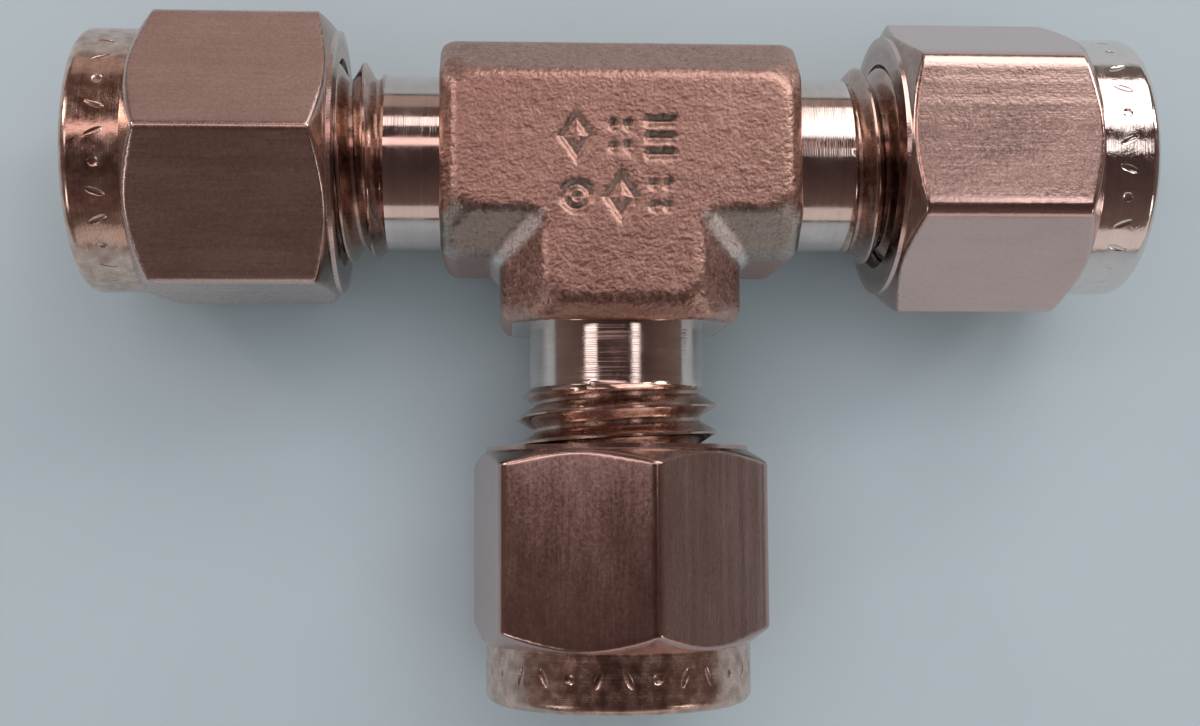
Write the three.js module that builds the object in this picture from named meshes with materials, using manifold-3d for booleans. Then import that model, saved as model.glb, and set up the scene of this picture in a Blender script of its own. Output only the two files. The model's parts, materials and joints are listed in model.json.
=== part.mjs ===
// A union tee for 3/16 in. tube: a forged stainless body with three threaded ends, and on each end
// a hexagon nut over a front and a back ferrule. Millimetres, +Z up.
//
// The tee lies on its back: the run is along X, the branch points along -Y, and the lowest corner
// of the left nut is at Z = 0. Each end is built along its own axis, the local +Z, measured from
// the point where the centrelines cross, with local +X pointing up.

import * as THREE from "three";
import { mergeVertices } from "three/addons/utils/BufferGeometryUtils.js";
import Module from "manifold-3d";

// Thread: 3/8-20, right hand, the same on the body and the nuts apart from the clearances.
const PITCH = 1.27;
const THREAD_R = 4.76;
const THREAD_ROOT_R = 3.98;
const THREAD_CREST = 0.16;
const FLANK_SLOPE = 2 * Math.tan(THREE.MathUtils.degToRad(30));
const FLANK_CLEARANCE = 0.1;
const NUT_THREAD_R = 4.92;
const NUT_CREST_R = 4.16;

// Body: the forging is 7/16 in. from its front flat to its back one. Its run and its branch each
// have a flat, a 45 degree slope down to the shoulder, and an upright side.
const BODY_HALF = 5.55;
const SHOULDER = 3.5;
const RUN_HALF = 5.15;
const RUN_FLAT = 3.15;
const RUN_REACH = 8.33;
const RUN_BEVEL = 0.73;
const BRANCH_HALF = 5.57;
const BRANCH_FLAT = 3.5;
const BRANCH_REACH = 8.1;
const BRANCH_BEVEL = 0.9;
const EDGE_DROP = 0.7;
const CORNER_R = 0.7;
const WEB_R = 0.8;
const NECK_R = 4.15;
const NECK_TAPER = 0.4;
const THREAD_FROM = 10.9;
const BODY_END = 18.1;
const THREAD_CHAMFER = 0.65;
const FLOW_R = 1.52;
const SOCKET_R = 2.43;
const SOCKET_FROM = 10.2;
const MOUTH_FROM = 15.6;
const MOUTH_R = 3.34;

// Nut: 1/2 in. across flats, measured along its axis from the end that faces the body.
const HEX = 12.7;
const HEX_CORNER_R = HEX / Math.sqrt(3);
const NUT_LENGTH = 11.9;
const COLLAR_R = 6.22;
const COLLAR_FROM = 9.2;
const COLLAR_EDGE = 0.5;
const COLLAR_CHAMFER = 0.85;
const FACE_R = 5.8;
const FACE_CHAMFER = 0.9;
const NUT_MOUTH_R = 5.05;
const RELIEF_FROM = 6.8;
const RELIEF_R = 4.95;
const CHAMBER_FROM = 7.8;
const CHAMBER_R = 3.6;
const SEAT_FROM = 8.0;
const TUBE_R = 2.46;
const TUBE_BEVEL = 0.25;
const FINGER_TIGHT = 12;

// Ferrules, measured from the crossing with the nut finger tight. The front one has a 20 degree
// nose and a 45 degree bevel behind it, which takes the back one's nose.
const FRONT_FROM = 16.42;
const FRONT_NOSE = 1.32;
const FRONT_LENGTH = 2.8;
const FRONT_TIP_R = 2.62;
const FRONT_R = 3.15;
const FRONT_BEVEL = 0.57;
const BACK_FROM = 18.95;
const BACK_NOSE = 0.4;
const BACK_LENGTH = 1.65;
const BACK_TIP_R = 2.6;
const BACK_NOSE_R = 3;
const BACK_R = 3.3;
const BACK_CHAMFER = 0.5;

// Round faces have this many sides. A solid that cuts or joins another runs this far past it.
const SIDES = 24;
const PAST = 1;

// Each end: the way it points, the hexagon's turn from one corner straight up, how many turns the
// nut is slackened from finger tight, and the angle where the body's thread starts.
const ENDS = [
  { name: "left", out: new THREE.Vector3(-1, 0, 0), hexTurn: 0.6, slackTurns: 0.8, lead: 135 },
  { name: "right", out: new THREE.Vector3(1, 0, 0), hexTurn: -32.8, slackTurns: 0.6, lead: 105 },
  { name: "branch", out: new THREE.Vector3(0, -1, 0), hexTurn: -10, slackTurns: 1.3, lead: 45 },
];

const FORGED = new THREE.MeshStandardMaterial({ color: 0x9a8580, roughness: 0.5, metalness: 1 });
const MACHINED = new THREE.MeshStandardMaterial({ color: 0xa59893, roughness: 0.28, metalness: 1 });
const FERRULE = new THREE.MeshStandardMaterial({ color: 0xb4aeaa, roughness: 0.3, metalness: 1 });

const wasm = await Module();
wasm.setup();

// A closed geometry as a solid: shared corners merged, triangles that have no area left out.
function solid(geometry) {
  const bare = geometry.clone();
  bare.deleteAttribute("normal");
  bare.deleteAttribute("uv");
  const merged = mergeVertices(bare, 1e-5);
  const index = merged.index.array;
  const triVerts = [];
  for (let i = 0; i < index.length; i += 3) {
    const [a, b, c] = index.slice(i, i + 3);
    if (a !== b && b !== c && c !== a) {
      triVerts.push(a, b, c);
    }
  }
  const vertProperties = merged.attributes.position.array;
  return new wasm.Manifold(new wasm.Mesh({ numProp: 3, vertProperties, triVerts: new Uint32Array(triVerts) }));
}

function meshOf(name, body, material) {
  const { vertProperties, triVerts } = body.getMesh();
  const geometry = new THREE.BufferGeometry();
  geometry.setAttribute("position", new THREE.BufferAttribute(vertProperties, 3));
  geometry.setIndex(new THREE.BufferAttribute(triVerts, 1));
  const flat = geometry.toNonIndexed();
  flat.computeVertexNormals();
  const mesh = new THREE.Mesh(flat, material);
  mesh.name = name;
  return mesh;
}

function closedSolid(corners, index) {
  const geometry = new THREE.BufferGeometry();
  geometry.setAttribute("position", new THREE.Float32BufferAttribute(corners, 3));
  geometry.setIndex(index);
  return solid(geometry);
}

// A solid of revolution about Z from [radius, z] pairs that run up the outside. It starts and
// ends on the axis unless it is a ring, whose pairs go round and close on the first.
function turned(pairs, ring = false) {
  const path = ring ? [...pairs, pairs[0]] : [[0, pairs[0][1]], ...pairs, [0, pairs[pairs.length - 1][1]]];
  const points = path.map(([radius, z]) => new THREE.Vector2(radius, z));
  return solid(new THREE.LatheGeometry(points, SIDES).rotateX(Math.PI / 2));
}

// A threaded rod about Z. Each column is one angle's profile, four corners to a turn, and each
// column starts a little higher than the one before, so that column SIDES is column 0 a turn up.
function threadedRod({ rootR, crestR, crestWidth, lead, from, to }) {
  const crestHalf = crestWidth / 2;
  const rootHalf = crestHalf + (FLANK_SLOPE * (crestR - rootR)) / 2;
  const profile = [[rootR, -rootHalf], [crestR, -crestHalf], [crestR, crestHalf], [rootR, rootHalf]];
  const perTurn = profile.length;
  const rows = perTurn * Math.ceil((to - from) / PITCH);
  const corners = [];
  for (let column = 0; column < SIDES; column += 1) {
    const angle = THREE.MathUtils.degToRad(lead) + (column / SIDES) * 2 * Math.PI;
    for (let row = 0; row <= rows + perTurn; row += 1) {
      const [radius, offset] = profile[row % perTurn];
      const z = from + PITCH * (Math.floor(row / perTurn) + column / SIDES) + offset;
      corners.push(radius * Math.cos(angle), radius * Math.sin(angle), z);
    }
  }
  const bottom = corners.length / 3;
  const top = bottom + 1;
  corners.push(0, 0, from - PITCH, 0, 0, to + 3 * PITCH);
  const columnLength = rows + perTurn + 1;
  const at = (column, row) => (column < SIDES ? column * columnLength + row : row + perTurn);
  const index = [];
  for (let column = 0; column < SIDES; column += 1) {
    for (let row = 0; row < rows; row += 1) {
      index.push(at(column, row), at(column + 1, row), at(column + 1, row + 1));
      index.push(at(column, row), at(column + 1, row + 1), at(column, row + 1));
    }
    index.push(bottom, at(column + 1, 0), at(column, 0));
    index.push(top, at(column, rows), at(column + 1, rows));
  }
  for (let row = 0; row < perTurn; row += 1) {
    index.push(bottom, at(0, row), at(0, row + 1));
    index.push(top, at(0, rows + row + 1), at(0, rows + row));
  }
  return closedSolid(corners, index);
}

// Points of a quarter circle about a centre, from one heading to the next in degrees.
function arc(centreX, centreY, radius, fromDeg, toDeg) {
  const points = [];
  const pieces = 3;
  for (let i = 0; i <= pieces; i += 1) {
    const angle = THREE.MathUtils.degToRad(fromDeg + ((toDeg - fromDeg) * i) / pieces);
    points.push(new THREE.Vector2(centreX + radius * Math.cos(angle), centreY + radius * Math.sin(angle)));
  }
  return points;
}

// The forging's outline at one height: a T whose outer corners are rounded, with a fillet in each
// inner corner.
function teeOutline({ runHalf, branchHalf, runReach, branchReach }) {
  const endX = runReach - CORNER_R;
  const sideY = runHalf - CORNER_R;
  const endY = branchReach - CORNER_R;
  const sideX = branchHalf - CORNER_R;
  const webX = branchHalf + WEB_R;
  const webY = runHalf + WEB_R;
  return [
    ...arc(endX, -sideY, CORNER_R, -90, 0),
    ...arc(endX, sideY, CORNER_R, 0, 90),
    ...arc(-endX, sideY, CORNER_R, 90, 180),
    ...arc(-endX, -sideY, CORNER_R, 180, 270),
    ...arc(-webX, -webY, WEB_R, 90, 0),
    ...arc(-sideX, -endY, CORNER_R, 180, 270),
    ...arc(sideX, -endY, CORNER_R, 270, 360),
    ...arc(webX, -webY, WEB_R, 180, 90),
  ];
}

// The forging is skinned from its outlines at rising heights, with a cap on the first and the last.
function forging() {
  const reach = { runReach: RUN_REACH, branchReach: BRANCH_REACH };
  const topLevels = [
    { z: SHOULDER, runHalf: RUN_HALF, branchHalf: BRANCH_HALF, ...reach },
    {
      z: BODY_HALF - EDGE_DROP,
      runHalf: RUN_FLAT + EDGE_DROP,
      branchHalf: BRANCH_FLAT + EDGE_DROP,
      ...reach,
    },
    {
      z: BODY_HALF,
      runHalf: RUN_FLAT,
      branchHalf: BRANCH_FLAT,
      runReach: RUN_REACH - RUN_BEVEL,
      branchReach: BRANCH_REACH - BRANCH_BEVEL,
    },
  ];
  const backLevels = topLevels.map((level) => ({ ...level, z: -level.z })).reverse();
  const levels = [...backLevels, ...topLevels];
  const outlines = levels.map(teeOutline);
  const corners = outlines.flatMap((outline, i) => outline.flatMap((p) => [p.x, p.y, levels[i].z]));
  const count = outlines[0].length;
  const last = count * (levels.length - 1);
  const index = [];
  for (let start = 0; start < last; start += count) {
    for (let i = 0; i < count; i += 1) {
      const next = (i + 1) % count;
      index.push(start + i, start + next, start + count + next);
      index.push(start + i, start + count + next, start + count + i);
    }
  }
  for (const [a, b, c] of THREE.ShapeUtils.triangulateShape(outlines[0], [])) {
    index.push(a, c, b);
    index.push(last + a, last + b, last + c);
  }
  return closedSolid(corners, index);
}

// One threaded end of the body along its own axis, with no bore yet. The neck tapers in under the
// thread, which is chamfered where it starts beside the neck and where it ends at the mouth.
function threadedEnd(lead) {
  const neck = turned([
    [NECK_R, 0],
    [NECK_R, THREAD_FROM],
    [NECK_R - NECK_TAPER, THREAD_FROM + NECK_TAPER],
  ]);
  const rod = threadedRod({
    rootR: THREAD_ROOT_R,
    crestR: THREAD_R,
    crestWidth: THREAD_CREST,
    lead,
    from: THREAD_FROM - 2 * PITCH,
    to: BODY_END + PITCH,
  });
  const envelope = turned([
    [THREAD_R - THREAD_CHAMFER, THREAD_FROM],
    [THREAD_R + PAST, THREAD_FROM + THREAD_CHAMFER + PAST],
    [THREAD_R + PAST, BODY_END - THREAD_CHAMFER - PAST],
    [THREAD_R - THREAD_CHAMFER, BODY_END],
  ]);
  return neck.add(rod.intersect(envelope));
}

// What is bored out of one end: the flow passage, the tube's socket and the ferrule's cone.
function endBore() {
  return turned([
    [FLOW_R, -FLOW_R / 2],
    [FLOW_R, SOCKET_FROM],
    [SOCKET_R, SOCKET_FROM],
    [SOCKET_R, MOUTH_FROM],
    [MOUTH_R, BODY_END],
    [MOUTH_R, BODY_END + PAST],
  ]);
}

// The turn that carries an end's own axes, local +Z out and local +X up, into the object's.
function endMatrix(out) {
  const up = new THREE.Vector3(0, 0, 1);
  const side = new THREE.Vector3().crossVectors(out, up);
  return new THREE.Matrix4().makeBasis(up, side, out);
}

function placed(body, out) {
  return body.transform(endMatrix(out).elements);
}

function teeBody() {
  let body = forging();
  for (const end of ENDS) {
    body = body.add(placed(threadedEnd(end.lead), end.out));
  }
  for (const end of ENDS) {
    body = body.subtract(placed(endBore(), end.out));
  }
  return body;
}

function hexagonPrism(turn, from, to) {
  const corners = [];
  for (let i = 0; i < 6; i += 1) {
    const angle = THREE.MathUtils.degToRad(turn + i * 60);
    corners.push(new THREE.Vector2(HEX_CORNER_R * Math.cos(angle), HEX_CORNER_R * Math.sin(angle)));
  }
  const prism = new THREE.ExtrudeGeometry(new THREE.Shape(corners), { depth: to - from, bevelEnabled: false });
  return solid(prism.translate(0, 0, from));
}

// A nut at its place along the end's axis. Its thread is cut in step with the body's thread.
function nut({ hexTurn, slackTurns, lead }) {
  const foot = FINGER_TIGHT + slackTurns * PITCH;
  const at = (pairs) => turned(pairs.map(([radius, z]) => [radius, foot + z]));
  const widestR = HEX_CORNER_R + COLLAR_EDGE;
  const faceSlope = FACE_CHAMFER / (HEX_CORNER_R - FACE_R);
  const collarSlope = COLLAR_CHAMFER / (HEX_CORNER_R - COLLAR_R);
  const hexEnvelope = at([
    [FACE_R, 0],
    [widestR, faceSlope * (widestR - FACE_R)],
    [widestR, COLLAR_FROM - collarSlope * (widestR - COLLAR_R)],
    [COLLAR_R, COLLAR_FROM],
  ]);
  const edge = arc(COLLAR_R - COLLAR_EDGE, NUT_LENGTH - COLLAR_EDGE, COLLAR_EDGE, 0, 90);
  const collar = at([[COLLAR_R, COLLAR_FROM - PAST], ...edge.map((p) => [p.x, p.y])]);
  const hexagon = hexagonPrism(hexTurn, foot - PAST, foot + COLLAR_FROM).intersect(hexEnvelope);
  const bore = at([
    [NUT_MOUTH_R + PAST, -PAST],
    [NUT_MOUTH_R, 0],
    [CHAMBER_R, NUT_MOUTH_R - CHAMBER_R],
    [CHAMBER_R, RELIEF_FROM],
    [RELIEF_R, RELIEF_FROM],
    [RELIEF_R, CHAMBER_FROM],
    [CHAMBER_R, CHAMBER_FROM],
    [CHAMBER_R, SEAT_FROM],
    [TUBE_R, SEAT_FROM + CHAMBER_R - TUBE_R],
    [TUBE_R, NUT_LENGTH - TUBE_BEVEL],
    [TUBE_R + TUBE_BEVEL, NUT_LENGTH],
    [TUBE_R + TUBE_BEVEL, NUT_LENGTH + PAST],
  ]);
  const thread = threadedRod({
    rootR: NUT_CREST_R,
    crestR: NUT_THREAD_R,
    crestWidth: THREAD_CREST - FLANK_SLOPE * (NUT_THREAD_R - THREAD_R) + 2 * FLANK_CLEARANCE,
    lead,
    from: THREAD_FROM - 2 * PITCH,
    to: foot + CHAMBER_FROM,
  });
  const reliefMiddle = (RELIEF_FROM + CHAMBER_FROM) / 2;
  const threadSpan = at([[NUT_THREAD_R + PAST, -PAST], [NUT_THREAD_R + PAST, reliefMiddle]]);
  return hexagon.add(collar).subtract(bore).subtract(thread.intersect(threadSpan));
}

function frontFerrule() {
  const back = FRONT_FROM + FRONT_LENGTH;
  return turned([
    [SOCKET_R, FRONT_FROM],
    [FRONT_TIP_R, FRONT_FROM],
    [FRONT_R, FRONT_FROM + FRONT_NOSE],
    [FRONT_R, back],
    [SOCKET_R + FRONT_BEVEL, back],
    [SOCKET_R, back - FRONT_BEVEL],
  ], true);
}

// The back ferrule: a short nose, a flange, and a chamfered back that the nut's seat pushes on.
function backFerrule(slackTurns) {
  const from = BACK_FROM + slackTurns * PITCH;
  const back = from + BACK_LENGTH;
  return turned([
    [SOCKET_R, from],
    [BACK_TIP_R, from],
    [BACK_NOSE_R, from + BACK_NOSE],
    [BACK_R, from + BACK_NOSE],
    [BACK_R, back - BACK_CHAMFER],
    [BACK_R - BACK_CHAMFER, back],
    [SOCKET_R, back],
  ], true);
}

const fitting = new THREE.Group();
fitting.add(meshOf("tee_body", teeBody(), FORGED));
for (const end of ENDS) {
  const group = new THREE.Group();
  group.applyMatrix4(endMatrix(end.out));
  group.add(meshOf(`nut_${end.name}`, nut(end), MACHINED));
  group.add(meshOf(`front_ferrule_${end.name}`, frontFerrule(), FERRULE));
  group.add(meshOf(`back_ferrule_${end.name}`, backFerrule(end.slackTurns), FERRULE));
  fitting.add(group);
}

// The origin is the middle of the bounding box's bottom.
const box = new THREE.Box3().setFromObject(fitting);
const centre = box.getCenter(new THREE.Vector3());
fitting.position.set(-centre.x, -centre.y, -box.min.z);

const part = new THREE.Group();
part.add(fitting);

export default part;
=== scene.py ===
"""A union tee for 3/16 in. tube: fine meshes, materials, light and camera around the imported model.

Shapes are built in millimetres from the point where the centrelines cross. Each end has axes of
its own: +Z out of the fitting and +X up.
"""

import json
import math

import bmesh
import bpy
import numpy as np
from mathutils import Matrix, Vector, noise


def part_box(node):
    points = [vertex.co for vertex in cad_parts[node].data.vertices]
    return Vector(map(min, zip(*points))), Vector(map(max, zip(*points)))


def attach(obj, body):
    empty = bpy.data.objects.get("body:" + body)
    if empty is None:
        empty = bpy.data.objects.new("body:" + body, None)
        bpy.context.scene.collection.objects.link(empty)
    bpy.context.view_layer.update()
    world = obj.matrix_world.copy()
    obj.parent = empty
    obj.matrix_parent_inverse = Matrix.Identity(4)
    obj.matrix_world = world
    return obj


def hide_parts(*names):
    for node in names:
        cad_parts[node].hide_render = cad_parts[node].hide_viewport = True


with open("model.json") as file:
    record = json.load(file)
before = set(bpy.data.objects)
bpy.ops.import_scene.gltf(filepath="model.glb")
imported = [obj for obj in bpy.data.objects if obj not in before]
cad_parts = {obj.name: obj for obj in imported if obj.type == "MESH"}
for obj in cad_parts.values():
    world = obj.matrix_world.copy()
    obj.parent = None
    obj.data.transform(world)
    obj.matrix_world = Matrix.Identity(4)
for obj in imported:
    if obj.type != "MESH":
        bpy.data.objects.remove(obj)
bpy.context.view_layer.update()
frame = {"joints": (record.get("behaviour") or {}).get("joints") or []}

MM = 0.001

# Thread: 3/8-20, right hand.
PITCH = 1.27
THREAD_R = 4.76
THREAD_ROOT_R = 3.98
THREAD_CREST = 0.16
FLANK = math.tan(math.radians(30))
NUT_THREAD_R = 4.92
NUT_CREST_R = 4.16
NUT_GROOVE = 0.175

# Body.
BODY_HALF = 5.55
SHOULDER = 3.5
RUN_HALF = 5.15
RUN_FLAT = 3.15
RUN_REACH = 8.33
RUN_BEVEL = 0.73
BRANCH_HALF = 5.57
BRANCH_FLAT = 3.5
BRANCH_REACH = 8.1
BRANCH_BEVEL = 0.9
EDGE_DROP = 0.7
EDGE_R = 0.22
SHOULDER_R = 0.35
CORNER_R = 0.8
WEB_WIDTH = 0.45
WEB_R = 0.12
NECK_R = 4.15
THREAD_FROM = 10.9
BODY_END = 18.1
THREAD_CHAMFER = 0.65
FLOW_R = 1.52
SOCKET_R = 2.43
SOCKET_FROM = 10.2
MOUTH_FROM = 15.6
MOUTH_R = 3.34
BODY_VOXEL = 0.15
RUN_BAR = (RUN_HALF, RUN_FLAT, RUN_REACH, RUN_BEVEL)
BRANCH_BAR = (BRANCH_HALF, BRANCH_FLAT, BRANCH_REACH, BRANCH_BEVEL)

# Nut, measured along its axis from the end that faces the body.
HEX_HALF = 6.35
HEX_CORNER_R = HEX_HALF / math.cos(math.radians(30))
NUT_LENGTH = 11.9
COLLAR_R = 6.22
COLLAR_FROM = 9.2
COLLAR_EDGE = 0.5
COLLAR_CHAMFER = 0.85
FACE_R = 5.8
FACE_CHAMFER = 0.9
NUT_MOUTH_R = 5.05
RELIEF_FROM = 6.8
RELIEF_R = 4.95
CHAMBER_FROM = 7.8
CHAMBER_R = 3.6
SEAT_FROM = 8.0
TUBE_R = 2.46
TUBE_BEVEL = 0.25

# Ferrules, measured along their axis from the nose.
FRONT_NOSE = 1.32
FRONT_LENGTH = 2.8
FRONT_TIP_R = 2.62
FRONT_R = 3.15
FRONT_BEVEL = 0.57
BACK_NOSE = 0.4
BACK_LENGTH = 1.65
BACK_TIP_R = 2.6
BACK_NOSE_R = 3.0
BACK_R = 3.3
BACK_CHAMFER = 0.5

# How far the small curves at turned corners reach.
BROKEN_EDGE = 0.08
FERRULE_EDGE = 0.06

# Edges that bend more than this are shaded sharp.
FORGED_SHARP_DEG = 40
TURNED_SHARP_DEG = 32

# out: the way the end points. hex_turn: its hexagon's turn, and lead: its thread's, in degrees.
# corner_r: how round its hexagon's corners are.
ENDS = {
    "left": {"out": (-1, 0, 0), "hex_turn": 0.6, "lead": 135, "corner_r": 0.2},
    "right": {"out": (1, 0, 0), "hex_turn": -32.8, "lead": 105, "corner_r": 0.42},
    "branch": {"out": (0, -1, 0), "hex_turn": -10, "lead": 45, "corner_r": 0.25},
}


def crossing():
    """The point where the centrelines cross, from the nuts' turning axes."""
    turns = {joint["name"]: joint["pos_m"] for joint in frame["joints"] if joint["type"] == "hinge"}
    _, y, z = turns["left_nut_turn"]
    return Vector((turns["branch_nut_turn"][0], y, z))


CROSSING = crossing()
BODY_MATRIX = Matrix.Translation(CROSSING) @ Matrix.Scale(MM, 4)


def end_turn(out):
    """Turns an end's own axes into the body's."""
    up = Vector((0, 0, 1))
    out = Vector(out)
    return Matrix((up, out.cross(up), out)).transposed().to_4x4()


def nearest_face(node, out):
    """How far out a node's nearer end face is from the crossing, in millimetres."""
    return min((corner - CROSSING).dot(Vector(out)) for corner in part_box(node)) / MM


# ---------------------------------------------------------------- bands of rings


def even_angles(count):
    return np.linspace(0, 2 * math.pi, count, endpoint=False)


def points_at(radius, z, angles):
    radius, z = np.broadcast_arrays(radius, z)
    return np.stack([radius * np.cos(angles), radius * np.sin(angles), z], -1)


def plain_band(pairs, angles):
    """A band of rings from [radius, height] pairs."""
    pairs = np.array(pairs, float)
    shape = (len(pairs), len(angles))
    radius = np.broadcast_to(pairs[:, :1], shape)
    return points_at(radius, np.broadcast_to(pairs[:, 1:], shape), angles), 0


def band_faces(rows, columns, climb):
    """Quads around a band. A helical band's last column meets its first one climb rows up."""
    row, column = np.mgrid[0 : rows - 1, 0:columns]
    beside = (column + 1) % columns
    up = row + np.where(beside == 0, climb, 0)
    here = row * columns + column
    there = up * columns + beside
    faces = np.stack([here, there, there + columns, here + columns], -1)
    return faces[up < rows - 1]


def mesh_from_bands(name, bands):
    """One closed mesh from bands that meet ring to ring. Points that coincide are merged."""
    points, faces = [], []
    start = 0
    for grid, climb in bands:
        rows, columns, _ = grid.shape
        points.append(grid.reshape(-1, 3))
        faces.append(start + band_faces(rows, columns, climb))
        start += rows * columns
    mesh = bpy.data.meshes.new(name)
    mesh.from_pydata(np.concatenate(points).tolist(), [], np.concatenate(faces).tolist())
    bm = bmesh.new()
    bm.from_mesh(mesh)
    bmesh.ops.remove_doubles(bm, verts=bm.verts, dist=1e-4)
    bmesh.ops.recalc_face_normals(bm, faces=bm.faces)
    bm.to_mesh(mesh)
    bm.free()
    return mesh


def rounded(pairs, radius, steps=4):
    """The pairs with a short curve at each corner between the first and the last."""
    pairs = np.array(pairs, float)
    curve = [pairs[0]]
    for before, corner, after in zip(pairs, pairs[1:], pairs[2:]):
        near = min(radius, 0.45 * math.dist(before, corner), 0.45 * math.dist(corner, after))
        start = corner + near * (before - corner) / math.dist(before, corner)
        stop = corner + near * (after - corner) / math.dist(after, corner)
        for t in np.linspace(0, 1, steps):
            curve.append((1 - t) ** 2 * start + 2 * t * (1 - t) * corner + t**2 * stop)
    return np.array(curve + [pairs[-1]])


def rounded_loop(pairs, radius):
    """A closed loop of pairs with a short curve at every corner."""
    loop = rounded(list(pairs) + list(pairs[:2]), radius)[1:-1]
    return np.concatenate([loop, loop[:1]])


# ---------------------------------------------------------------- thread


def thread_radius(z, angles, lead, crest_r, root_r, crest_width):
    """The thread's radius at a height and an angle, from how far away its nearest crest is."""
    turns = (z - THREAD_FROM) / PITCH - (angles - math.radians(lead)) / (2 * math.pi)
    away = np.abs(turns - np.round(turns)) * PITCH
    return np.clip(crest_r - (away - crest_width / 2) / FLANK, root_r, crest_r)


def helical_band(z_from, z_to, angles, lead, form, limit):
    """Rows that follow the thread and end level. limit trims the thread's radius at a height."""
    crest_r, root_r, crest_width = form
    crest = crest_width / 2
    root = crest + FLANK * (crest_r - root_r)
    third = (root - crest) / 3
    blunt = 0.03
    half = [crest - blunt, crest + blunt, crest + third, root - third, root - blunt, root + blunt]
    offsets = sorted([-d for d in half] + [0] + half + [PITCH / 2])
    climb = PITCH * (angles - angles[0]) / (2 * math.pi)
    crest_z = THREAD_FROM + PITCH * (angles[0] - math.radians(lead)) / (2 * math.pi)
    base = crest_z - PITCH * math.ceil((crest_z - z_from) / PITCH + 2)
    turns = math.ceil((z_to - base) / PITCH) + 2
    rows = np.array([base + PITCH * turn + offset for turn in range(turns) for offset in offsets])
    z = rows[:, None] + climb[None, :]
    snap = 0.03
    z = np.where(z < z_from + snap, z_from, np.where(z > z_to - snap, z_to, z))
    radius = thread_radius(z, angles, lead, *form)
    return points_at(limit(radius, z), z, angles), len(offsets)


# ---------------------------------------------------------------- solids by distance


def rounded_max(a, b, radius):
    """The overlap of two solids, from their distances, with a rounded edge."""
    inside = np.minimum(np.maximum(a, b), -radius)
    return inside + np.hypot(np.maximum(a + radius, 0), np.maximum(b + radius, 0))


def rounded_min(a, b, radius):
    """Both solids together, from their distances, with a fillet where they meet."""
    return -rounded_max(-a, -b, radius)


def webbed_min(a, b, width, radius):
    """Both solids together, with a flat web across the corner where they meet."""
    web = (a + b - width) * math.sqrt(0.5)
    return rounded_min(rounded_min(a, b, radius), web, radius)


def arm_distance(across, along, height, half, flat, reach, bevel):
    """Distance to one bar of the T: upright sides, sloped shoulders and a bevelled end."""
    drop = BODY_HALF - SHOULDER
    spread = half - flat
    slope = (across - flat) * drop + (height - BODY_HALF) * spread
    sides = rounded_max(across - half, slope / math.hypot(drop, spread), SHOULDER_R)
    lean = (along - reach + bevel) * EDGE_DROP + (height - BODY_HALF) * bevel
    end = rounded_max(along - reach, lean / math.hypot(EDGE_DROP, bevel), EDGE_R)
    return rounded_max(sides, end, CORNER_R)


def forging_distance(p):
    """Distance to the forging's surface, negative inside."""
    x, y, z = p.T
    height = np.abs(z)
    run = arm_distance(np.abs(y), np.abs(x), height, *RUN_BAR)
    branch = np.maximum(arm_distance(np.abs(x), -y, height, *BRANCH_BAR), y)
    return rounded_max(webbed_min(run, branch, WEB_WIDTH, WEB_R), height - BODY_HALF, EDGE_R)


def slope_of(distance, p, step=0.01):
    slopes = []
    for axis in np.eye(3):
        slopes.append((distance(p + step * axis) - distance(p - step * axis)) / (2 * step))
    return np.stack(slopes, -1)


def on_surface(distance, p, rounds=6):
    """The points, moved along the distance's slope until they lie on the surface."""
    for _ in range(rounds):
        slope = slope_of(distance, p)
        p = p - slope * (distance(p) / np.maximum((slope**2).sum(1), 0.1))[:, None]
    return p


# ---------------------------------------------------------------- Blender meshes


def object_of(name, mesh):
    piece = bpy.data.objects.new(name, mesh)
    bpy.context.collection.objects.link(piece)
    return piece


def apply_modifiers(piece):
    """Replaces an object's mesh by what its modifiers make of it."""
    graph = bpy.context.evaluated_depsgraph_get()
    made = bpy.data.meshes.new_from_object(piece.evaluated_get(graph))
    piece.modifiers.clear()
    piece.data = made


def combine(piece, tool_mesh, operation):
    tool = object_of("tool", tool_mesh)
    step = piece.modifiers.new("combine", "BOOLEAN")
    step.operation = operation
    step.solver = "MANIFOLD"
    step.object = tool
    apply_modifiers(piece)
    bpy.data.objects.remove(tool)


def coordinates(mesh):
    flat = np.empty(3 * len(mesh.vertices))
    mesh.vertices.foreach_get("co", flat)
    return flat.reshape(-1, 3)


def face_vectors(mesh, kind):
    """The faces' centres or normals."""
    flat = np.empty(3 * len(mesh.polygons))
    mesh.polygons.foreach_get(kind, flat)
    return flat.reshape(-1, 3)


def cut_block(low, high, planes):
    """A box trimmed by planes, each a point and an outward normal."""
    bm = bmesh.new()
    bmesh.ops.create_cube(bm, size=1)
    for vert in bm.verts:
        vert.co = Vector(top if c > 0 else base for c, base, top in zip(vert.co, low, high))
    for point, normal in planes:
        geometry = bm.verts[:] + bm.edges[:] + bm.faces[:]
        cut = bmesh.ops.bisect_plane(
            bm, geom=geometry, plane_co=point, plane_no=normal, clear_outer=True
        )
        rim = [edge for edge in cut["geom_cut"] if isinstance(edge, bmesh.types.BMEdge)]
        bmesh.ops.holes_fill(bm, edges=rim)
    bmesh.ops.recalc_face_normals(bm, faces=bm.faces)
    mesh = bpy.data.meshes.new("block")
    bm.to_mesh(mesh)
    bm.free()
    return mesh


def set_materials(mesh, materials, kinds):
    """Gives each face the material that its kind counts to."""
    mesh.materials.clear()
    for material in materials:
        mesh.materials.append(material)
    mesh.polygons.foreach_set("material_index", kinds.astype(np.int32))


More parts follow.
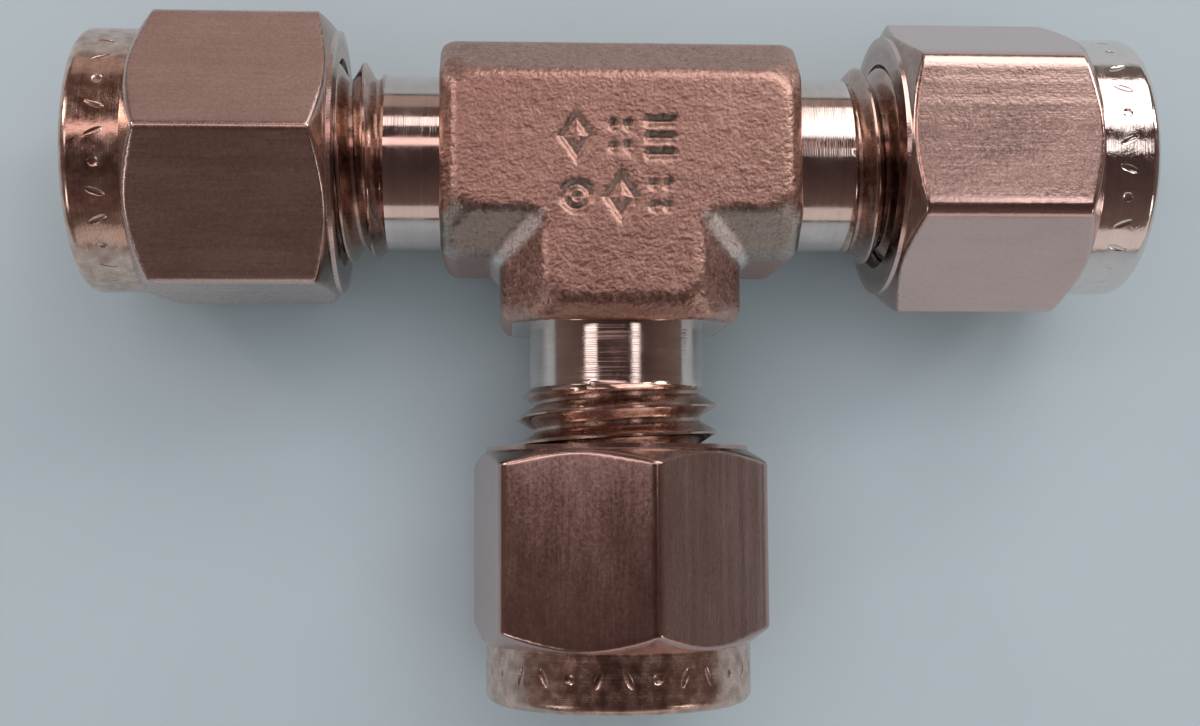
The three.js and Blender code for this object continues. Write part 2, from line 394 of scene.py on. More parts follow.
def finish_piece(piece, node, body, sharp_deg):
    """Shades a piece, puts it in place of its CAD node and lets it ride on its body."""
    piece.data.shade_smooth()
    piece.data.set_sharp_from_angle(angle=math.radians(sharp_deg))
    weigh = piece.modifiers.new("normals", "WEIGHTED_NORMAL")
    weigh.keep_sharp = True
    apply_modifiers(piece)
    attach(piece, body)
    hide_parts(node)


# ---------------------------------------------------------------- tee body


def forging_block():
    """The forging with sharp edges: the run's bar and the branch's bar, each trimmed."""
    planes = {"run": [], "branch": []}
    drop = BODY_HALF - SHOULDER
    run_spread, branch_spread = RUN_HALF - RUN_FLAT, BRANCH_HALF - BRANCH_FLAT
    for up in (-1, 1):
        for side in (-1, 1):
            at = Vector((0, side * RUN_FLAT, up * BODY_HALF))
            planes["run"].append((at, Vector((0, side * drop, up * run_spread))))
            at = Vector((side * BRANCH_FLAT, 0, up * BODY_HALF))
            planes["branch"].append((at, Vector((side * drop, 0, up * branch_spread))))
            at = Vector((side * (RUN_REACH - RUN_BEVEL), 0, up * BODY_HALF))
            planes["run"].append((at, Vector((side * EDGE_DROP, 0, up * RUN_BEVEL))))
        at = Vector((0, BRANCH_BEVEL - BRANCH_REACH, up * BODY_HALF))
        planes["branch"].append((at, Vector((0, -EDGE_DROP, up * BRANCH_BEVEL))))
    run_corner = Vector((RUN_REACH, RUN_HALF, BODY_HALF))
    run = cut_block(-run_corner, run_corner, planes["run"])
    low = Vector((-BRANCH_HALF, -BRANCH_REACH, -BODY_HALF))
    branch = cut_block(low, Vector((BRANCH_HALF, 0, BODY_HALF)), planes["branch"])
    block = object_of("tee", run)
    combine(block, branch, "UNION")
    return block


# Stamped signs on the front: their middles, and the patch of finer faces that they lie in.
MARK_GRID = [(-2.1, 0.15), (-0.1, 0.15), (1.7, 0.1), (-2.1, -2.6), (-0.1, -2.6), (1.7, -2.55)]
MARK_STROKE = 0.2
MARK_DEPTH = 0.18
PATCH_MIDDLE = (-0.2, -1.2)
PATCH_HALF = (2.9, 2.7)
RING_R = 0.55
BAR_HALF = 0.5
BAR_GAP = 0.75
DIAMOND_HALF = 0.85
DIAMOND_SLENDER = 1.5
DIAMOND_SLOPE = 1.8
DOT_AT = (0.33, 0.5)

# The forging's uneven skin: height in mm, size of the unevenness and seed.
SKIN = ((0.012, 2.0, 3), (0.008, 0.55, 8))
SKIN_SINK = 0.012


def to_segment(x, y, x0, y0, x1, y1):
    dx, dy = x1 - x0, y1 - y0
    t = np.clip(((x - x0) * dx + (y - y0) * dy) / (dx * dx + dy * dy), 0, 1)
    return np.hypot(x - x0 - t * dx, y - y0 - t * dy)


def mark_distance(x, y):
    """Distance to the nearest stroke of six plain stamped signs: rings, bars, dots, diamonds."""

    def target(x, y):
        return np.minimum(np.abs(np.hypot(x, y) - RING_R), np.hypot(x, y))

    def bars(x, y):
        levels = (-BAR_GAP, 0, BAR_GAP)
        rows = [to_segment(x, y, -BAR_HALF, level, BAR_HALF, level) for level in levels]
        return np.minimum.reduce(rows)

    def diamond(x, y):
        return np.abs(np.abs(x) * DIAMOND_SLENDER + np.abs(y) - DIAMOND_HALF) / DIAMOND_SLOPE

    def dots(x, y):
        return np.hypot(np.abs(x) - DOT_AT[0], np.abs(y) - DOT_AT[1])

    signs = [diamond, dots, bars, target, diamond, dots]
    away = [sign(x - u, y - v) for sign, (u, v) in zip(signs, MARK_GRID)]
    return np.minimum.reduce(away)


def refine_front(mesh):
    """Halves the faces under the stamped signs, and halves them again."""
    (middle_x, middle_y), (half_x, half_y) = PATCH_MIDDLE, PATCH_HALF
    lowest = BODY_HALF - 0.1
    bm = bmesh.new()
    bm.from_mesh(mesh)
    for _ in range(2):
        edges = []
        for edge in bm.edges:
            at = (edge.verts[0].co + edge.verts[1].co) / 2
            in_patch = abs(at.x - middle_x) < half_x and abs(at.y - middle_y) < half_y
            if at.z > lowest and in_patch:
                edges.append(edge)
        bmesh.ops.subdivide_edges(bm, edges=edges, cuts=1, use_grid_fill=True)
    bm.to_mesh(mesh)
    bm.free()


def worn(p, size, seed):
    """Smooth random numbers, about -1 to 1, for each point."""
    shift = Vector((seed, 2 * seed, 3 * seed))
    return np.array([noise.noise(Vector(point) / size + shift) for point in p])


def shaped_forging():
    """The forging with fillets, a slightly uneven skin and stamped signs on its front."""
    block = forging_block()
    remesh = block.modifiers.new("even", "REMESH")
    remesh.mode = "VOXEL"
    remesh.voxel_size = BODY_VOXEL
    apply_modifiers(block)
    refine_front(block.data)
    p = on_surface(forging_distance, coordinates(block.data))
    outward = slope_of(forging_distance, p)
    outward /= np.maximum(np.linalg.norm(outward, axis=1, keepdims=True), 1e-6)
    uneven = sum(high * worn(p, size, seed) for high, size, seed in SKIN) - SKIN_SINK
    p = p + outward * uneven[:, None]
    beside_marks = 3.2
    front = (p[:, 2] > BODY_HALF - 0.3) & (np.abs(p[:, 0]) < beside_marks)
    away = mark_distance(p[:, 0], p[:, 1]) / MARK_STROKE
    dent = np.where(front, np.exp(-(away**2)), 0)
    p[:, 2] -= MARK_DEPTH * dent
    block.data.vertices.foreach_set("co", p.ravel())
    block.data.update()
    return block


def threaded_rod(lead):
    """A neck and thread as a solid rod, from inside the forging to the body's end."""
    angles = even_angles(108)
    inner, even_from = 5.0, 6.0

    def trimmed(radius, z):
        chamfer = THREAD_R - THREAD_CHAMFER + np.minimum(z - THREAD_FROM, BODY_END - z)
        return np.maximum(np.minimum(radius, chamfer), NECK_R - (z - THREAD_FROM))

    form = (THREAD_R, THREAD_ROOT_R, THREAD_CREST)
    rings = np.linspace(even_from, THREAD_FROM, 24)
    neck = [[0, inner], [NECK_R, inner]] + [[NECK_R, z] for z in rings]
    thread = helical_band(THREAD_FROM, BODY_END, angles, lead, form, trimmed)
    rim = thread[0][-1:]
    centre = np.zeros_like(rim)
    centre[..., 2] = BODY_END
    return mesh_from_bands(
        "rod", [plain_band(neck, angles), thread, (np.concatenate([rim, centre]), 0)]
    )


def end_bore():
    """What is bored out of one end: flow passage, tube socket and the ferrule's cone."""
    past = 1.0
    profile = rounded(
        [
            [FLOW_R, -FLOW_R / 2],
            [FLOW_R, SOCKET_FROM],
            [SOCKET_R, SOCKET_FROM],
            [SOCKET_R, MOUTH_FROM],
            [MOUTH_R, BODY_END],
            [MOUTH_R, BODY_END + past],
        ],
        BROKEN_EDGE,
    )
    pairs = [[0, -FLOW_R / 2], *profile.tolist(), [0, BODY_END + past]]
    return mesh_from_bands("bore", [plain_band(pairs, even_angles(72))])


FORGED, RUN_TURNED, BRANCH_TURNED, BORED, THREADED = range(5)
# Mesh attributes for painted light on the forging: a painted floor reflection and a painted
# highlight.
FLOOR_REFLECTED, LIT_WEBS = "painted_floor_reflection", "painted_web_highlight"


def paint_forging_reflections(mesh):
    """Marks the slopes on the branch's side of the run with a painted floor reflection, and the webs
    with a painted highlight.
    """
    count = len(mesh.vertices)
    normals = np.empty(3 * count)
    mesh.vertices.foreach_get("normal", normals)
    _, across, up = normals.reshape(-1, 3).T
    x, y, z = coordinates(mesh).T
    fade = 0.2
    # Painted floor reflection: greyer on the slopes that face the branch's side and lean up or down.
    slope = np.clip((-across - 0.2) / fade, 0, 1) * np.clip((np.abs(up) - 0.15) / fade, 0, 1)
    past_run = y < -RUN_HALF - 0.2
    slope[past_run] = 0
    run = arm_distance(np.abs(y), np.abs(x), np.abs(z), *RUN_BAR)
    branch = arm_distance(np.abs(x), -y, np.abs(z), *BRANCH_BAR)
    # Painted highlight: lighter on the webs, where the point is off both bars.
    off_both_bars = 0.08
    web = np.clip(np.minimum(run, branch) / off_both_bars, 0, 1)
    for name, amount in ((FLOOR_REFLECTED, slope), (LIT_WEBS, web)):
        attribute = mesh.attributes.new(name, "FLOAT", "POINT")
        attribute.data.foreach_set("value", amount.astype(np.float32))


def weld(mesh):
    """Joins points that the booleans left on top of each other."""
    bm = bmesh.new()
    bm.from_mesh(mesh)
    bmesh.ops.remove_doubles(bm, verts=bm.verts, dist=1e-5)
    bm.to_mesh(mesh)
    bm.free()


def tee_body():
    """The forging with its necks and threads added, bored through, and its faces told apart."""
    tee = shaped_forging()
    for end in ENDS.values():
        rod = threaded_rod(end["lead"])
        rod.transform(end_turn(end["out"]))
        combine(tee, rod, "UNION")
    for end in ENDS.values():
        bore = end_bore()
        bore.transform(end_turn(end["out"]))
        combine(tee, bore, "DIFFERENCE")
    mesh = tee.data
    weld(mesh)
    middle = face_vectors(mesh, "center")
    x, y, z = middle.T
    depth = forging_distance(middle)
    margin, close, clear, deep = 0.35, 0.02, 0.05, 0.3
    straight_out = 0.97
    on_run = np.abs(x) > RUN_REACH - margin
    on_end = on_run | (y < margin - BRANCH_REACH)
    from_axis = np.where(on_run, np.hypot(y, z), np.hypot(x, z))
    across, down, _ = np.abs(face_vectors(mesh, "normal")).T
    faced = np.where(on_run, across, down) > straight_out
    turned = on_end & ((depth > clear) | (from_axis < NECK_R + close) | faced)
    kind = np.where(depth < -deep, BORED, FORGED)
    kind = np.where(turned, np.where(on_run, RUN_TURNED, BRANCH_TURNED), kind)
    along = np.where(on_run, np.abs(x), -y)
    # The thread's faces get the darker material with painted shade.
    kind = np.where(on_end & (along > THREAD_FROM), THREADED, kind)
    kind = np.where(on_end & (from_axis < MOUTH_R + close), BORED, kind)
    set_materials(mesh, (FORGED_STEEL, RUN_STEEL, BRANCH_STEEL, BORE_STEEL, SHADED_THREAD_STEEL), kind)
    paint_forging_reflections(mesh)
    tee.matrix_world = BODY_MATRIX
    finish_piece(tee, "tee_body", "tee", FORGED_SHARP_DEG)


# ---------------------------------------------------------------- nuts


def nut_angles(hex_turn):
    """Columns around the nut, closer together near the hexagon's corners."""
    steps = [0, 0.5, 1.1, 1.9, 3, 5, 8, 12, 16.5, 21, 25.5]
    half = [-step for step in reversed(steps[1:])] + steps + [30]
    return np.radians([hex_turn + 60 * corner + step for corner in range(6) for step in half])


def nut_radius(z, angles, hex_turn, corner_r):
    """The outside radius of hexagon and collar at heights z, by halving."""
    shape = np.broadcast_shapes(z.shape, angles.shape)
    low, high = np.full(shape, 4.0), np.full(shape, 8.0)
    front = math.atan2(HEX_CORNER_R - FACE_R, FACE_CHAMFER)
    back = math.atan2(HEX_CORNER_R - COLLAR_R, COLLAR_CHAMFER)
    front_edge_r, back_edge_r = 0.12, 0.1
    turn = angles - math.radians(hex_turn)
    half_side = math.radians(30)
    near = (turn + half_side) % (2 * half_side) - half_side

    def distance(radius):
        one = radius * np.cos(half_side - near) - HEX_HALF
        other = radius * np.cos(half_side + near) - HEX_HALF
        hexagon = rounded_max(one, other, corner_r)
        face = (radius - FACE_R) * math.cos(front) - z * math.sin(front)
        collar = (radius - COLLAR_R) * math.cos(back) - (COLLAR_FROM - z) * math.sin(back)
        hexagon = rounded_max(hexagon, face, front_edge_r)
        hexagon = rounded_max(hexagon, collar, back_edge_r)
        return np.minimum(hexagon, radius - COLLAR_R)

    halvings = 26
    for _ in range(halvings):
        middle = (low + high) / 2
        outside = distance(middle) > 0
        high = np.where(outside, middle, high)
        low = np.where(outside, low, middle)
    return (low + high) / 2


def rolled_marks(foot):
    """Cutters for a plain rolled pattern round the collar: slanted dashes and dots."""
    bm = bmesh.new()
    level = foot + (COLLAR_FROM + NUT_LENGTH - COLLAR_EDGE) / 2
    dash, dot = (0.07, 0.18, 0.5), (0.07, 0.26, 0.26)
    pattern = ((dash, 25), (dash, -20), (dot, 0))
    count = 30
    for i in range(count):
        sizes, lean = pattern[i % len(pattern)]
        place = (
            Matrix.Rotation(2 * math.pi * i / count, 4, "Z")
            @ Matrix.Translation((COLLAR_R + 0.02, 0, level))
            @ Matrix.Rotation(math.radians(lean), 4, "X")
            @ Matrix.Diagonal((*sizes, 1))
        )
        bmesh.ops.create_icosphere(bm, subdivisions=3, radius=1, matrix=place)
    mesh = bpy.data.meshes.new("marks")
    bm.to_mesh(mesh)
    bm.free()
    return mesh


HEX_FACE, COLLAR_FACE, NUT_BORE, MOUTH_FACE = range(4)


def make_nut(name, end):
    """One nut, from its thread out over the back, the collar and the hexagon to its mouth."""
    foot = nearest_face(f"nut_{name}", end["out"])
    angles = nut_angles(end["hex_turn"])
    # The rows lie closer together where the hexagon's corners are chamfered.
    close = 0.05
    rows = np.concatenate(
        [
            np.arange(0.02, 1.2, close),
            np.linspace(1.3, 7.9, 12),
            np.arange(8.0, 9.35, close),
            np.linspace(9.4, NUT_LENGTH - COLLAR_EDGE, 8),
        ]
    )[:, None]
    outline = nut_radius(rows, angles, end["hex_turn"], end["corner_r"])
    outside = points_at(outline, foot + rows, angles)
    rim = foot + NUT_LENGTH
    edge = [
        [
            COLLAR_R - COLLAR_EDGE * (1 - math.cos(turn)),
            rim - COLLAR_EDGE * (1 - math.sin(turn)),
        ]
        for turn in np.linspace(0, math.pi / 2, 9)
    ]
    inside = [
        [TUBE_R + TUBE_BEVEL, rim],
        [TUBE_R, rim - TUBE_BEVEL],
        [TUBE_R, foot + SEAT_FROM + CHAMBER_R - TUBE_R],
        [CHAMBER_R, foot + SEAT_FROM],
        [CHAMBER_R, foot + CHAMBER_FROM],
        [RELIEF_R, foot + CHAMBER_FROM],
        [RELIEF_R, foot + RELIEF_FROM],
    ]
    back = rounded(edge + inside, BROKEN_EDGE)

    def trimmed(radius, z):
        opened = NUT_MOUTH_R - (z - foot)
        return np.minimum(np.maximum(radius, opened), RELIEF_R)

    form = (NUT_THREAD_R, NUT_CREST_R, NUT_GROOVE)
    grid, climb = helical_band(foot, foot + RELIEF_FROM, angles, end["lead"], form, trimmed)
    face = [[NUT_MOUTH_R, foot], [FACE_R - 0.1, foot], [FACE_R - 0.03, foot + 0.005]]
    first, last = grid[:1], grid[-1:]
    lip, _ = plain_band(face, angles)
    bands = [
        (grid, climb),
        (np.concatenate([last, plain_band(back[-1:], angles)[0]]), 0),
        plain_band(back, angles),
        (np.concatenate([outside, plain_band(back[:1], angles)[0]]), 0),
        (np.concatenate([first, lip, outside[:1]]), 0),
    ]
    nut = object_of(f"{name}_nut", mesh_from_bands("nut", bands))
    combine(nut, rolled_marks(foot), "DIFFERENCE")
    mesh = nut.data
    x, y, z = face_vectors(mesh, "center").T
    radius = np.hypot(x, y)
    kind = np.where(z - foot > COLLAR_FROM - 0.06, COLLAR_FACE, HEX_FACE)
    near_foot, towards_body = z - foot < 2.5, face_vectors(mesh, "normal")[:, 2] < -0.2
    kind = np.where(near_foot & towards_body, MOUTH_FACE, kind)
    in_hole = (radius < NUT_THREAD_R + 0.1) & (z < rim - TUBE_BEVEL)
    kind = np.where(in_hole, NUT_BORE, kind)
    set_materials(mesh, (BAR_STEEL[name], COLLAR_STEEL[name], NUT_BORE_STEEL, MOUTH_STEEL), kind)
    nut.matrix_world = BODY_MATRIX @ end_turn(end["out"])
    finish_piece(nut, f"nut_{name}", f"nut_{name}", TURNED_SHARP_DEG)


def make_ferrules(name, end):
    """One end's front and back ferrule."""
    front = nearest_face(f"front_ferrule_{name}", end["out"])
    back = nearest_face(f"back_ferrule_{name}", end["out"])
    front_profile = [
        [SOCKET_R, front],
        [FRONT_TIP_R, front],
        [FRONT_R, front + FRONT_NOSE],
        [FRONT_R, front + FRONT_LENGTH],
        [SOCKET_R + FRONT_BEVEL, front + FRONT_LENGTH],
        [SOCKET_R, front + FRONT_LENGTH - FRONT_BEVEL],
    ]
    back_profile = [
        [SOCKET_R, back],
        [BACK_TIP_R, back],
        [BACK_NOSE_R, back + BACK_NOSE],
        [BACK_R, back + BACK_NOSE],
        [BACK_R, back + BACK_LENGTH - BACK_CHAMFER],
        [BACK_R - BACK_CHAMFER, back + BACK_LENGTH],
        [SOCKET_R, back + BACK_LENGTH],
    ]
    for kind, profile in (("front", front_profile), ("back", back_profile)):
        node = f"{kind}_ferrule_{name}"
        loop = plain_band(rounded_loop(profile, FERRULE_EDGE), even_angles(96))
        ferrule = object_of(f"{node}_ring", mesh_from_bands(node, [loop]))
        ferrule.data.materials.append(FERRULE_STEEL)
        ferrule.matrix_world = BODY_MATRIX @ end_turn(end["out"])
        finish_piece(ferrule, node, node, TURNED_SHARP_DEG)


# ---------------------------------------------------------------- materials


class Nodes:
    """A material's node tree, with short calls for the few kinds of node used here."""

    def __init__(self, name):
        self.material = bpy.data.materials.new(name)
        self.material.use_nodes = True
        self.tree = self.material.node_tree
        self.shader = self.tree.nodes["Principled BSDF"]

    def add(self, kind, settings=None, **inputs):
        node = self.tree.nodes.new(kind)
        for key, value in (settings or {}).items():
            setattr(node, key, value)
        for key, value in inputs.items():
            self.feed(node.inputs[key.replace("_", " ")], value)
        return node

    def feed(self, socket, value):
        if isinstance(value, bpy.types.NodeSocket):
            self.tree.links.new(value, socket)
        else:
            socket.default_value = value

    def maths(self, operation, *values):
        node = self.add("ShaderNodeMath", {"operation": operation})
        for socket, value in zip(node.inputs, values):
            self.feed(socket, value)
        return node.outputs[0]

    def spread(self, value, low, high, to_low=0.0, to_high=1.0):
        node = self.add("ShaderNodeMapRange", {"clamp": True})
        for socket, number in zip(node.inputs, (value, low, high, to_low, to_high)):
            self.feed(socket, number)
        return node.outputs[0]

    def blend(self, factor, first, second):
        """A mix of two colours. They are inputs 6 and 7 of a mix node, and output 2."""
        node = self.add("ShaderNodeMix", {"data_type": "RGBA"})
        for index, value in ((0, factor), (6, first), (7, second)):
            self.feed(node.inputs[index], value)
        return node.outputs[2]


# What noise spreads from -1 to 1, what pointiness spreads from no wear to full wear, and how much
# smoother a fully worn edge is.
NOISE_SPAN = (0.25, 0.75)
WORN_SPAN = (0.505, 0.56)
EDGE_POLISH = 0.12


def steel(name, light, dark, roughness, layers, wear=0.5, tints=()):
    """Metal from layers of noise. A layer is its grain's size in mm along x, y and z, its detail,
    and how much it adds to the shade, the roughness and the height in mm. Wear is how much lighter
    the edges are. A tint is the name of a mesh attribute, and the light and dark colours where
    that is 1."""
    nodes = Nodes(name)
    place = nodes.add("ShaderNodeTexCoord").outputs["Object"]
    sums = None
    for size, detail, *shares in layers:
        stretch = nodes.add("ShaderNodeMapping")
        nodes.feed(stretch.inputs["Vector"], place)
        nodes.feed(stretch.inputs["Scale"], tuple(1 / s for s in size))
        texture = nodes.add("ShaderNodeTexNoise", Scale=1.0, Detail=detail, Roughness=0.6)
        nodes.feed(texture.inputs["Vector"], stretch.outputs[0])
        value = nodes.spread(texture.outputs["Fac"], *NOISE_SPAN, -1.0, 1.0)
        parts = [nodes.maths("MULTIPLY", value, share) for share in shares]
        if sums is None:
            sums = parts
        else:
            sums = [nodes.maths("ADD", total, part) for total, part in zip(sums, parts)]
    shade, rough, height = sums
    pointed = nodes.add("ShaderNodeNewGeometry").outputs["Pointiness"]
    edge = nodes.spread(pointed, *WORN_SPAN, 0.0, wear)
    shade = nodes.maths("ADD", nodes.maths("ADD", shade, 0.5), edge)
    shade = nodes.spread(shade, 0.0, 1.0)
    light, dark = (*light, 1), (*dark, 1)
    for attribute, tint_light, tint_dark in tints:
        amount = nodes.add("ShaderNodeAttribute", {"attribute_name": attribute}).outputs["Fac"]
        light = nodes.blend(amount, light, (*tint_light, 1))
        dark = nodes.blend(amount, dark, (*tint_dark, 1))
    colour = nodes.blend(shade, dark, light)
    nodes.feed(nodes.shader.inputs["Base Color"], colour)
    rough = nodes.maths("ADD", rough, roughness)
    rough = nodes.maths("SUBTRACT", rough, nodes.maths("MULTIPLY", edge, EDGE_POLISH))
    nodes.feed(nodes.shader.inputs["Roughness"], nodes.spread(rough, 0.05, 0.9, 0.05, 0.9))
    nodes.shader.inputs["Metallic"].default_value = 1.0
    bump = nodes.add("ShaderNodeBump", Strength=1.0, Distance=MM)
    nodes.feed(bump.inputs["Height"], height)
    nodes.feed(nodes.shader.inputs["Normal"], bump.outputs[0])
    return nodes.material


WARM = (0.68, 0.45, 0.39)
WARM_DARK = (0.40, 0.26, 0.22)
# Greyer colours of the painted floor reflection on the slopes.
REFLECTED_FLOOR_GREY = (0.54, 0.50, 0.46)
REFLECTED_FLOOR_GREY_DARK = (0.28, 0.25, 0.23)
# Lighter colours of the painted highlight on the webs.
WEB_HIGHLIGHT = (0.90, 0.82, 0.78)
WEB_HIGHLIGHT_DARK = (0.55, 0.48, 0.45)
SILVER = (0.86, 0.76, 0.72)
SILVER_DARK = (0.58, 0.49, 0.45)

FORGED_STEEL = steel(
    "blasted_forging",
    WARM,
    WARM_DARK,
    0.40,
    [
        ((0.15, 0.15, 0.15), 1.5, 0.42, 0.08, 0.006),
        ((0.36, 0.36, 0.36), 1.0, 0.25, 0.05, 0.010),
        ((2.5, 2.5, 2.5), 2.0, 0.16, 0.04, 0.0),
    ],
    # Painted light: a floor reflection on the slopes and a highlight on the webs.
    tints=[(FLOOR_REFLECTED, REFLECTED_FLOOR_GREY, REFLECTED_FLOOR_GREY_DARK), (LIT_WEBS, WEB_HIGHLIGHT, WEB_HIGHLIGHT_DARK)],
)
# Darker colours all over the thread: painted shade between its turns.
SHADED_THREAD_STEEL = steel(
    "rolled_thread_painted_shade",
    (0.66, 0.49, 0.43),
    (0.34, 0.24, 0.20),
    0.22,
    [((0.3, 0.3, 0.3), 3.0, 0.35, 0.08, 0.002), ((1.6, 1.6, 1.6), 2.0, 0.3, 0.06, 0.0)],
)
RUN_STEEL = steel(
    "turned_run_ends",
    SILVER,
    SILVER_DARK,
    0.12,
    [
        ((0.05, 30, 30), 2.0, 0.15, 0.04, 0.0012),
        ((0.35, 30, 30), 2.0, 0.12, 0.03, 0.0015),
        ((1.2, 1.2, 1.2), 3.0, 0.2, 0.06, 0.0),
    ],
)
BRANCH_STEEL = steel(
    "turned_branch_end",
    SILVER,
    SILVER_DARK,
    0.12,
    [
        ((30, 0.05, 30), 2.0, 0.15, 0.04, 0.0012),
        ((30, 0.35, 30), 2.0, 0.12, 0.03, 0.0015),
        ((1.2, 1.2, 1.2), 3.0, 0.2, 0.06, 0.0),
    ],
)
BORE_STEEL = steel(
    "bored_steel",
    SILVER_DARK,
    (0.25, 0.2, 0.18),
    0.33,
    [((0.2, 0.2, 0.2), 3.0, 0.3, 0.06, 0.003), ((1.5, 1.5, 1.5), 2.0, 0.2, 0.05, 0.0)],
)


def bar_steel(name, light, dark, roughness, speckle, wear):
    """Drawn hexagon bar: fine lines along it, specks and long, very shallow waves."""
    return steel(
        f"drawn_bar_{name}",
        light,
        dark,
        roughness,
        [
            ((0.07, 0.07, 2.5), 3.0, 0.12, 0.03, 0.0005),
            ((0.16, 0.16, 0.16), 2.0, 0.2, 0.03, speckle),
            ((0.9, 0.9, 80.0), 1.0, 0.0, 0.0, 0.006),
            ((1.8, 1.8, 4.0), 3.0, 0.14, 0.03, 0.0),
        ],
        wear,
    )


def collar_steel(name, light, dark, roughness, stain):
    """Turned collar: lines round it, and brown heat tint in patches."""
    return steel(
        f"turned_collar_{name}",
        light,
        dark,
        roughness,
        [
            ((20, 20, 0.06), 2.0, 0.12, 0.04, 0.001),
            ((0.6, 0.6, 0.6), 4.0, stain, 0.1, 0.003),
        ],
    )


BAR_STEEL = {
    "left": bar_steel("left", (0.86, 0.67, 0.62), (0.50, 0.39, 0.36), 0.27, 0.0006, 0.3),
    "right": bar_steel("right", (0.82, 0.61, 0.56), (0.58, 0.42, 0.39), 0.20, 0.0018, 0.4),
    "branch": bar_steel("branch", (0.66, 0.47, 0.43), (0.40, 0.27, 0.25), 0.2, 0.0006, 0.4),
}
COLLAR_STEEL = {
    "left": collar_steel("left", (0.98, 0.77, 0.66), (0.44, 0.28, 0.22), 0.2, 0.45),
    "right": collar_steel("right", (0.93, 0.87, 0.84), (0.66, 0.56, 0.52), 0.11, 0.12),
    "branch": collar_steel("branch", (0.88, 0.66, 0.56), (0.34, 0.22, 0.18), 0.24, 0.5),
}
MOUTH_STEEL = steel(
    "turned_mouth",
    (0.60, 0.46, 0.41),
    (0.30, 0.22, 0.19),
    0.24,
    [((20, 20, 0.06), 2.0, 0.14, 0.04, 0.001), ((0.7, 0.7, 0.7), 3.0, 0.3, 0.06, 0.001)],
)
NUT_BORE_STEEL = steel(
    "tapped_steel",
    SILVER_DARK,
    (0.25, 0.2, 0.18),
    0.3,
    [((20, 20, 0.05), 2.0, 0.2, 0.05, 0.001), ((1.2, 1.2, 1.2), 3.0, 0.3, 0.06, 0.0)],
)
FERRULE_STEEL = steel(
    "fine_turned_ferrule",
    (0.82, 0.77, 0.73),
    (0.6, 0.55, 0.52),
    0.2,
    [((20, 20, 0.05), 2.0, 0.2, 0.05, 0.001), ((0.8, 0.8, 0.8), 3.0, 0.2, 0.06, 0.0)],
)


# ---------------------------------------------------------------- stage


def floor():
    """A plain pale floor."""
    bm = bmesh.new()
    bmesh.ops.create_grid(bm, x_segments=4, y_segments=4, size=6)
    mesh = bpy.data.meshes.new("floor")
    bm.to_mesh(mesh)
    bm.free()
    plane = object_of("floor", mesh)
    nodes = Nodes("pale_floor")
    place = nodes.add("ShaderNodeTexCoord").outputs["Object"]
    texture = nodes.add("ShaderNodeTexNoise", Scale=14.0, Detail=4.0)
    nodes.feed(texture.inputs["Vector"], place)
    tone = nodes.spread(texture.outputs["Fac"], 0.3, 0.7)
    nodes.feed(
        nodes.shader.inputs["Base Color"],
        nodes.blend(tone, (0.40, 0.50, 0.55, 1), (0.44, 0.54, 0.59, 1)),
    )
    nodes.feed(nodes.shader.inputs["Roughness"], nodes.spread(tone, 0, 1, 0.5, 0.6))
    plane.data.materials.append(nodes.material)


LEVEL_X = (1, 0, 0)
LEVEL_Y = (0, 1, 0)

# Name, direction from the part, direction of its width, size in m, radiance and colour.
LAMPS = (
    ("overhead_band", (-0.15, 0.29, 0.95), LEVEL_X, (0.25, 0.07), 1.55, (1.0, 0.68, 0.64)),
    ("window", (0.36, 0.70, 0.62), (0.9, -0.42, 0), (0.19, 0.32), 2.15, (1.0, 0.92, 0.88)),
    ("window_side", (-0.02, 0.70, 0.71), LEVEL_X, (0.09, 0.09), 2.0, (1.0, 0.82, 0.80)),
    ("back_wall", (-0.10, 0.97, 0.22), LEVEL_X, (0.30, 0.14), 0.25, (1.0, 0.74, 0.67)),
    ("left_lamp", (-0.60, 0.145, 0.79), LEVEL_Y, (0.07, 0.11), 2.5, (1.0, 0.86, 0.84)),
    ("right_lamp", (0.36, 0.12, 0.92), LEVEL_Y, (0.07, 0.065), 2.2, (1.0, 0.88, 0.86)),
    ("front_wall", (0.30, -0.93, 0.20), LEVEL_X, (0.60, 0.14), 0.5, (1.0, 0.90, 0.87)),
    ("web_left", (-0.72, -0.52, 0.45), (1, -1, 0), (0.07, 0.10), 2.5, (1.0, 0.95, 0.93)),
    ("web_right", (0.72, -0.52, 0.45), (1, 1, 0), (0.07, 0.10), 2.7, (1.0, 0.95, 0.93)),
    ("slope_left", (-0.78, 0.42, 0.46), LEVEL_Y, (0.08, 0.08), 9.0, (1.0, 0.84, 0.78)),
    ("slope_right", (0.78, 0.42, 0.46), LEVEL_Y, (0.08, 0.08), 11.0, (1.0, 0.88, 0.82)),
    ("corner_left", (-0.55, 0.50, 0.66), LEVEL_X, (0.04, 0.04), 3.0, (1.0, 0.90, 0.84)),
    ("corner_right", (0.55, 0.50, 0.66), LEVEL_X, (0.05, 0.05), 8.0, (1.0, 0.90, 0.84)),
)


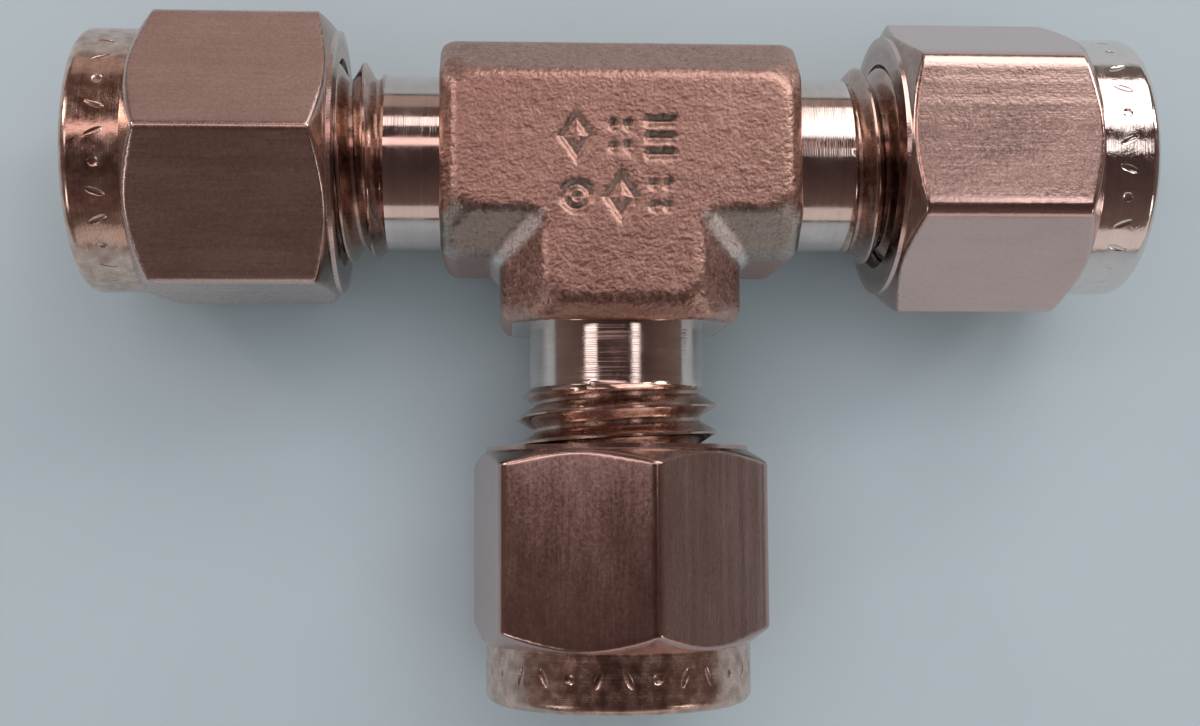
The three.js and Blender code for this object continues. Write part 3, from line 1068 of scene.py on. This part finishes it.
def softbox(name, toward, level, size, radiance, colour):
    """An area light that faces the part. Its width runs as nearly along level as it can."""
    distance = 0.4
    direction = Vector(toward).normalized()
    lamp = bpy.data.lights.new(name, "AREA")
    lamp.shape = "RECTANGLE"
    lamp.size, lamp.size_y = size
    lamp.energy = radiance * math.pi * size[0] * size[1]
    lamp.color = colour
    box = bpy.data.objects.new(name, lamp)
    level = Vector(level)
    across = (level - direction * level.dot(direction)).normalized()
    turn = Matrix((across, direction.cross(across), direction)).transposed().to_4x4()
    box.matrix_world = Matrix.Translation(CROSSING + direction * distance) @ turn
    bpy.context.collection.objects.link(box)
    return box


def surroundings():
    """A warm, dim room that is darkest straight overhead."""
    world = bpy.data.worlds.new("room")
    world.use_nodes = True
    tree = world.node_tree
    ground = tree.nodes["Background"]
    place = tree.nodes.new("ShaderNodeTexCoord")
    parts = tree.nodes.new("ShaderNodeSeparateXYZ")
    ramp = tree.nodes.new("ShaderNodeValToRGB")
    tree.links.new(place.outputs["Generated"], parts.inputs[0])
    tree.links.new(parts.outputs["Z"], ramp.inputs[0])
    tree.links.new(ramp.outputs[0], ground.inputs["Color"])
    stops = ramp.color_ramp.elements
    stops[0].position = 0.0
    stops[0].color = (0.16, 0.125, 0.11, 1)
    stops[1].position = 0.95
    stops[1].color = (0.05, 0.03, 0.028, 1)
    middle = stops.new(0.6)
    middle.color = (0.11, 0.068, 0.058, 1)
    ground.inputs["Strength"].default_value = 1.0
    bpy.context.scene.world = world


def look_down():
    """The camera, almost straight above the part and a little towards the branch."""
    tilts_deg = ((0.045, "Z"), (3.496, "Y"), (-4.783, "X"))
    roll, tilt_y, tilt_x = (Matrix.Rotation(math.radians(deg), 3, axis) for deg, axis in tilts_deg)
    height = 75.304
    offset = Vector((0.725, 9.608, -height))
    facing = (roll @ tilt_y @ tilt_x).transposed()
    lens = bpy.data.cameras.new("camera")
    lens.lens = 46.52
    lens.sensor_width = 36
    lens.clip_start = 0.005
    camera = bpy.data.objects.new("camera", lens)
    spot = CROSSING - (facing @ offset) * MM
    camera.matrix_world = Matrix.Translation(spot) @ facing.to_4x4()
    bpy.context.collection.objects.link(camera)
    bpy.context.scene.camera = camera


tee_body()
for end_name, end_data in ENDS.items():
    make_nut(end_name, end_data)
    make_ferrules(end_name, end_data)

floor()
surroundings()
for lamp in LAMPS:
    softbox(*lamp)
softbox("fill", (0, 0, 1), LEVEL_X, (0.6, 0.6), 1.2, (0.94, 0.98, 1.0)).visible_glossy = False
look_down()
bpy.context.scene.view_settings.view_transform = "Standard"
